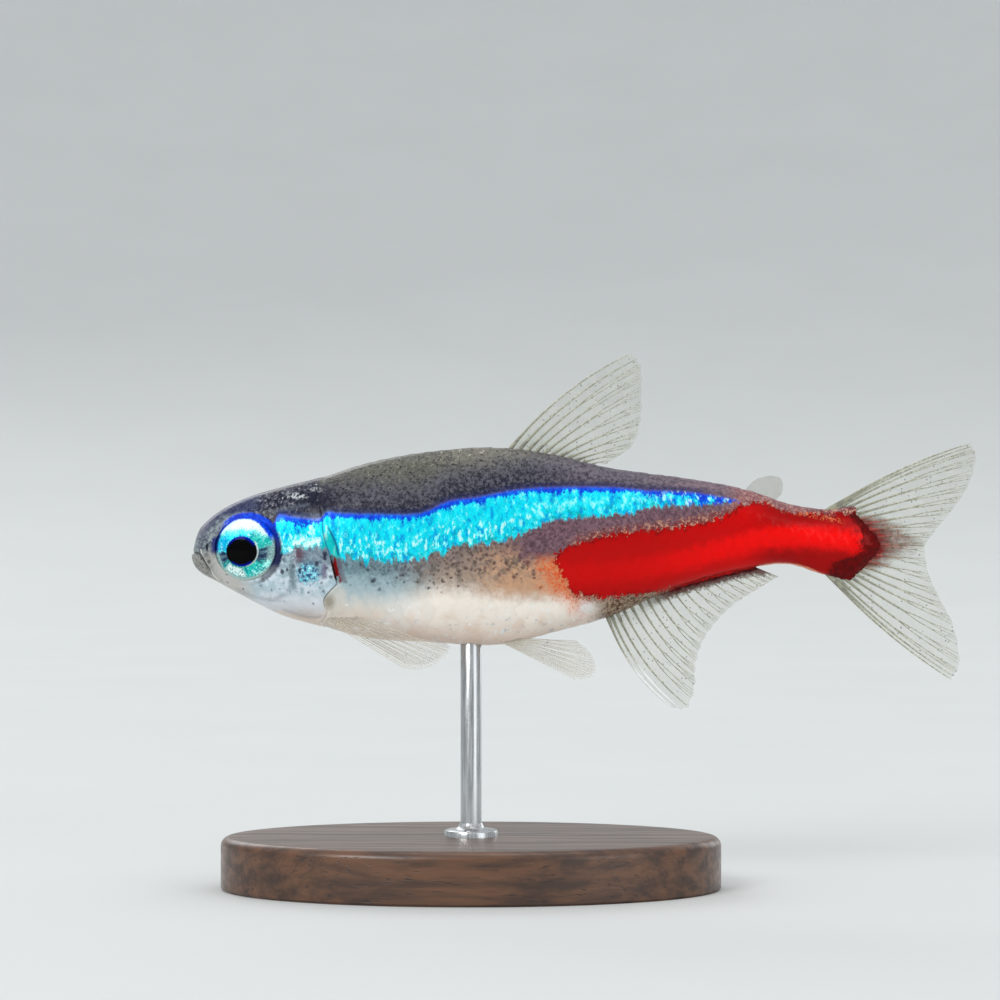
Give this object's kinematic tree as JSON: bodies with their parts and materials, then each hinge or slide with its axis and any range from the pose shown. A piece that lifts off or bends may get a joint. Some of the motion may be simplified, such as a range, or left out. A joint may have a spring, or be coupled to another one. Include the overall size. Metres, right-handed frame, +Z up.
{
  "type": "neon tetra model on a display stand",
  "caption": "Life-size still model of an adult neon tetra with an iridescent blue stripe and a red hind flank, held level by one rod on a flat oval base.",
  "frame": {"origin": "centre of the stand base's underside, on the rod's axis", "axes": "+X from the snout to the tail, +Y to the fish's right side, +Z up; the left side faces -Y"},
  "size_m": [0.03, 0.012, 0.0204],
  "materials": {
    "head_skin": "wet silvery skin with a bluish sheen, dark above the eye",
    "trunk_skin": "wet scaled skin: brown-grey back, iridescent cyan stripe, creamy belly",
    "tail_skin": "wet scaled skin, deep red under a grey back",
    "fin_membrane": "thin clear membrane with fine branching rays",
    "eye": "clear cornea over a cyan iris and a black pupil",
    "base_wood": "dark stained wood, satin lacquer",
    "rod_steel": "fine brushed stainless steel"
  },
  "bodies": {
    "root": {"head": "head_skin", "lower_jaw": "head_skin", "gill_cover_left": "head_skin", "gill_cover_right": "head_skin", "eye_left": "eye", "eye_right": "eye", "trunk": "trunk_skin", "tail_stalk": "tail_skin", "dorsal_fin": "fin_membrane", "adipose_fin": "fin_membrane", "caudal_fin_upper": "fin_membrane", "caudal_fin_lower": "fin_membrane", "anal_fin": "fin_membrane", "pectoral_fin_left": "fin_membrane", "pectoral_fin_right": "fin_membrane", "pelvic_fin_left": "fin_membrane", "pelvic_fin_right": "fin_membrane", "stand_base": "base_wood", "stand_rod": "rod_steel"}
  },
  "joints": []
}
